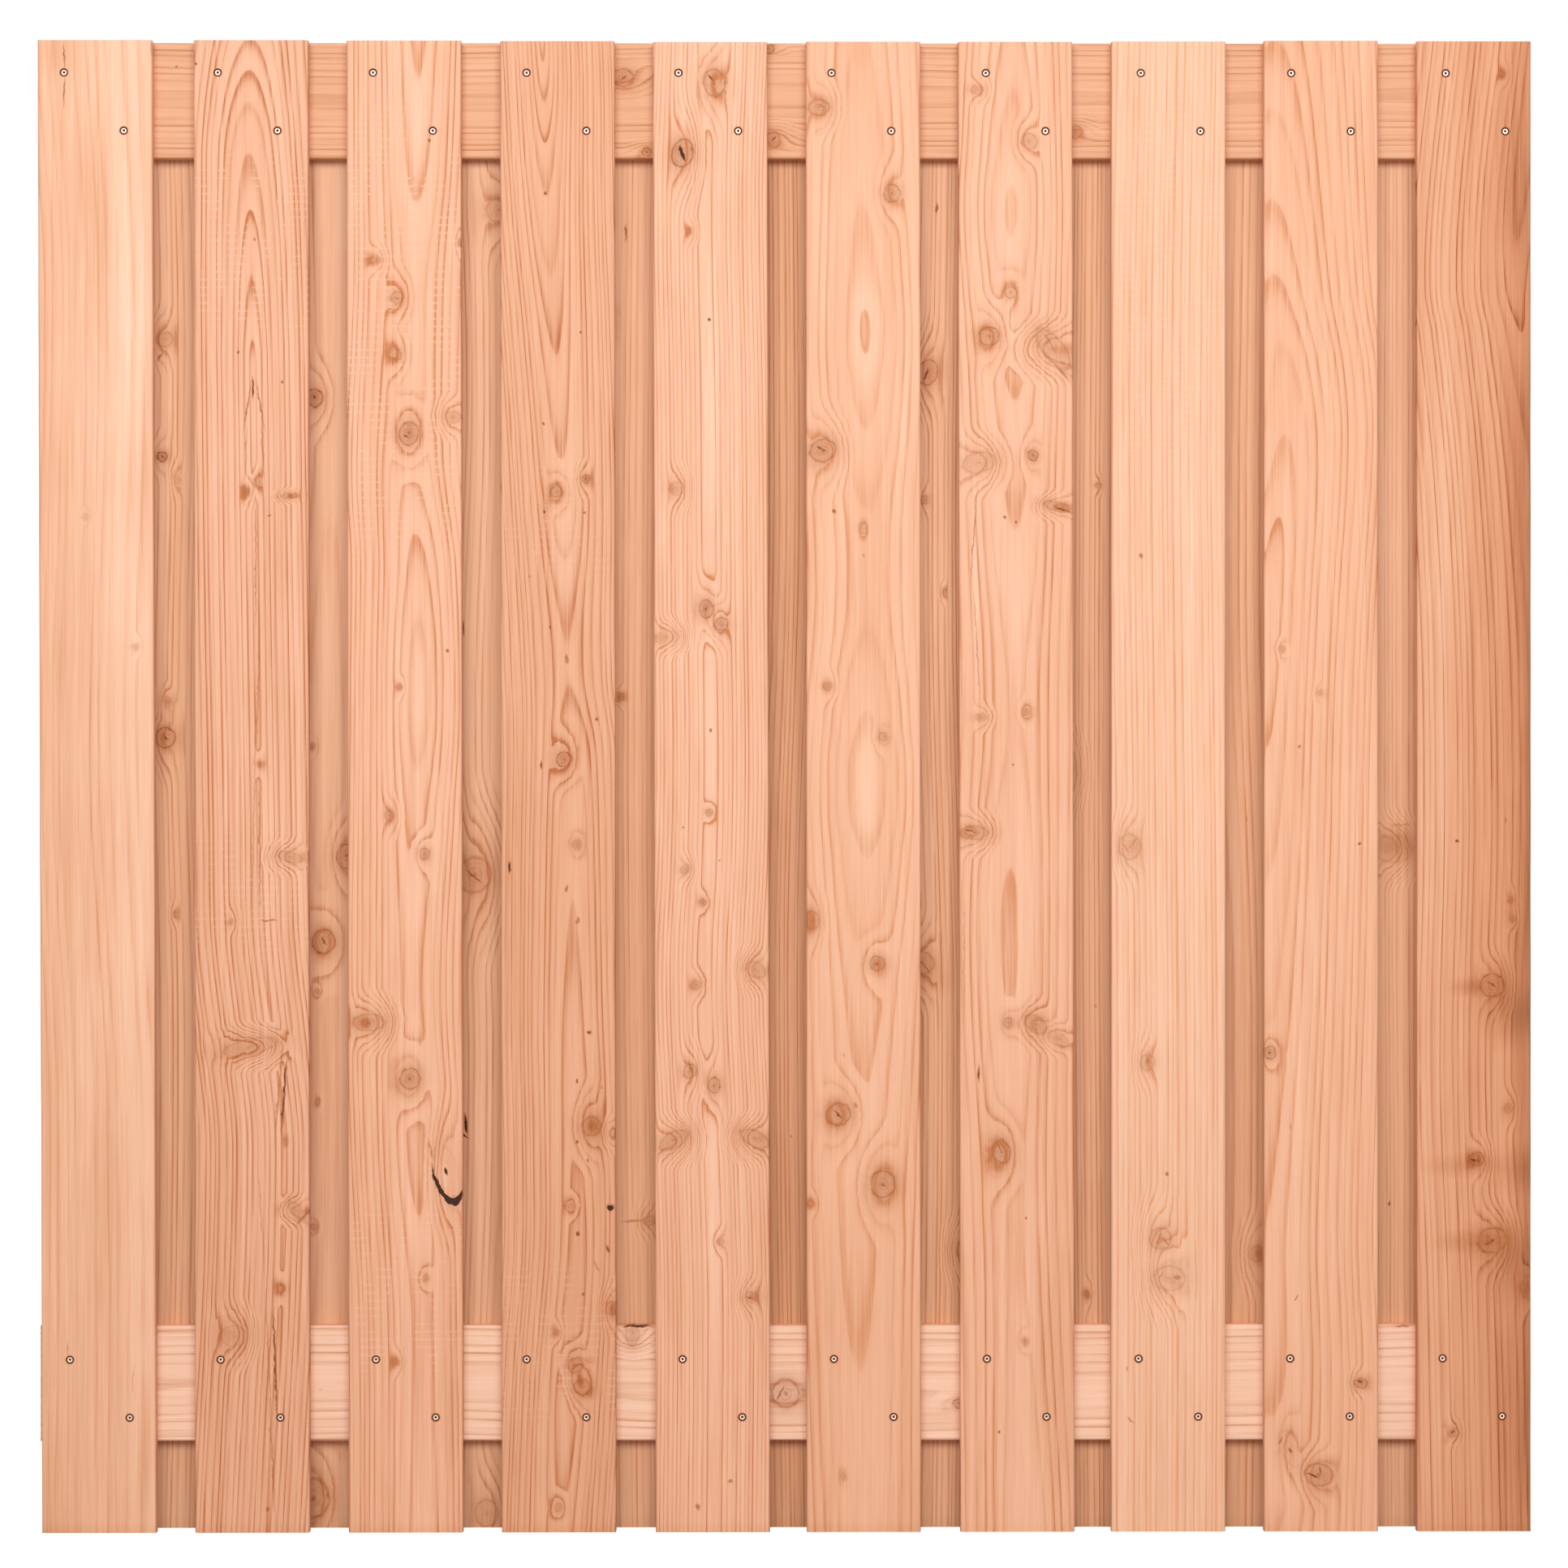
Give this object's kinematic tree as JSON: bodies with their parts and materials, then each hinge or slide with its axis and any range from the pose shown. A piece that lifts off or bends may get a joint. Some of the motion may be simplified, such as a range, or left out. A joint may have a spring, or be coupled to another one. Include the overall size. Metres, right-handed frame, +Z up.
{
  "type": "wooden fence panel",
  "caption": "Closed wooden garden fence panel: upright planed boards screwed to both faces of two horizontal rails, the back row covering the gaps of the front row.",
  "frame": {"origin": "bottom centre of the panel, on the ground, midway through its thickness", "axes": "+X to the right seen from the front, +Y from the front boards to the back boards, +Z up"},
  "size_m": [1.804, 0.048, 1.8],
  "materials": {
    "front_wood": "planed softwood, untreated, with knots",
    "back_wood": "planed softwood, a little darker and redder",
    "rail_wood": "planed softwood",
    "screw_steel": "bright stainless steel"
  },
  "bodies": {
    "root": {"front_board_1": "front_wood", "front_board_2": "front_wood", "front_board_3": "front_wood", "front_board_4": "front_wood", "front_board_5": "front_wood", "front_board_6": "front_wood", "front_board_7": "front_wood", "front_board_8": "front_wood", "front_board_9": "front_wood", "front_board_10": "front_wood", "back_board_1": "back_wood", "back_board_2": "back_wood", "back_board_3": "back_wood", "back_board_4": "back_wood", "back_board_5": "back_wood", "back_board_6": "back_wood", "back_board_7": "back_wood", "back_board_8": "back_wood", "back_board_9": "back_wood", "top_rail": "rail_wood", "bottom_rail": "rail_wood", "front_screws_top": "screw_steel", "front_screws_bottom": "screw_steel", "back_screws_top": "screw_steel", "back_screws_bottom": "screw_steel"}
  },
  "joints": []
}
